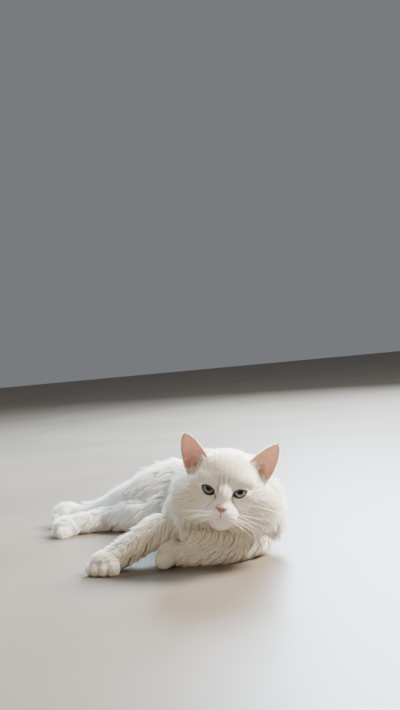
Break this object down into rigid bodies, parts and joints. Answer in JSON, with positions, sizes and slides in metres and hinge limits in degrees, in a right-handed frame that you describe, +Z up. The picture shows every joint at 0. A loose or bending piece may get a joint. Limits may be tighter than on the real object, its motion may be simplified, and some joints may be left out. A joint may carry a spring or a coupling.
{
  "type": "persian cat",
  "caption": "White longhaired persian cat lying on its side with its head up, a still life-size model.",
  "frame": {"origin": "on the floor under the middle of the whole model's outline", "axes": "+Z up, -Y the way the cat faces, +X the cat's left; the legs reach towards -X"},
  "size_m": [0.4092, 0.6628, 0.2011],
  "materials": {
    "fur": "long soft coat",
    "ear_skin": "thin skin with short fur",
    "nose_skin": "fine pebbled, slightly moist",
    "eye": "wet and clear"
  },
  "bodies": {
    "root": {"eye_right": "eye", "eye_left": "eye", "nose": "nose_skin", "neck": "fur", "chest": "fur", "head": "fur", "ear_right": "ear_skin", "ear_left": "ear_skin", "torso": "fur", "forepaw_right": "fur", "forepaw_left": "fur", "hindpaw_right": "fur", "hindpaw_left": "fur", "foreleg_right_lower": "fur", "foreleg_right_upper": "fur", "foreleg_left_lower": "fur", "foreleg_left_upper": "fur", "hindleg_right_lower": "fur", "hindleg_right_upper": "fur", "hindleg_left_lower": "fur", "hindleg_left_upper": "fur", "tail_base": "fur", "tail_middle": "fur", "tail_tip": "fur"}
  },
  "joints": []
}
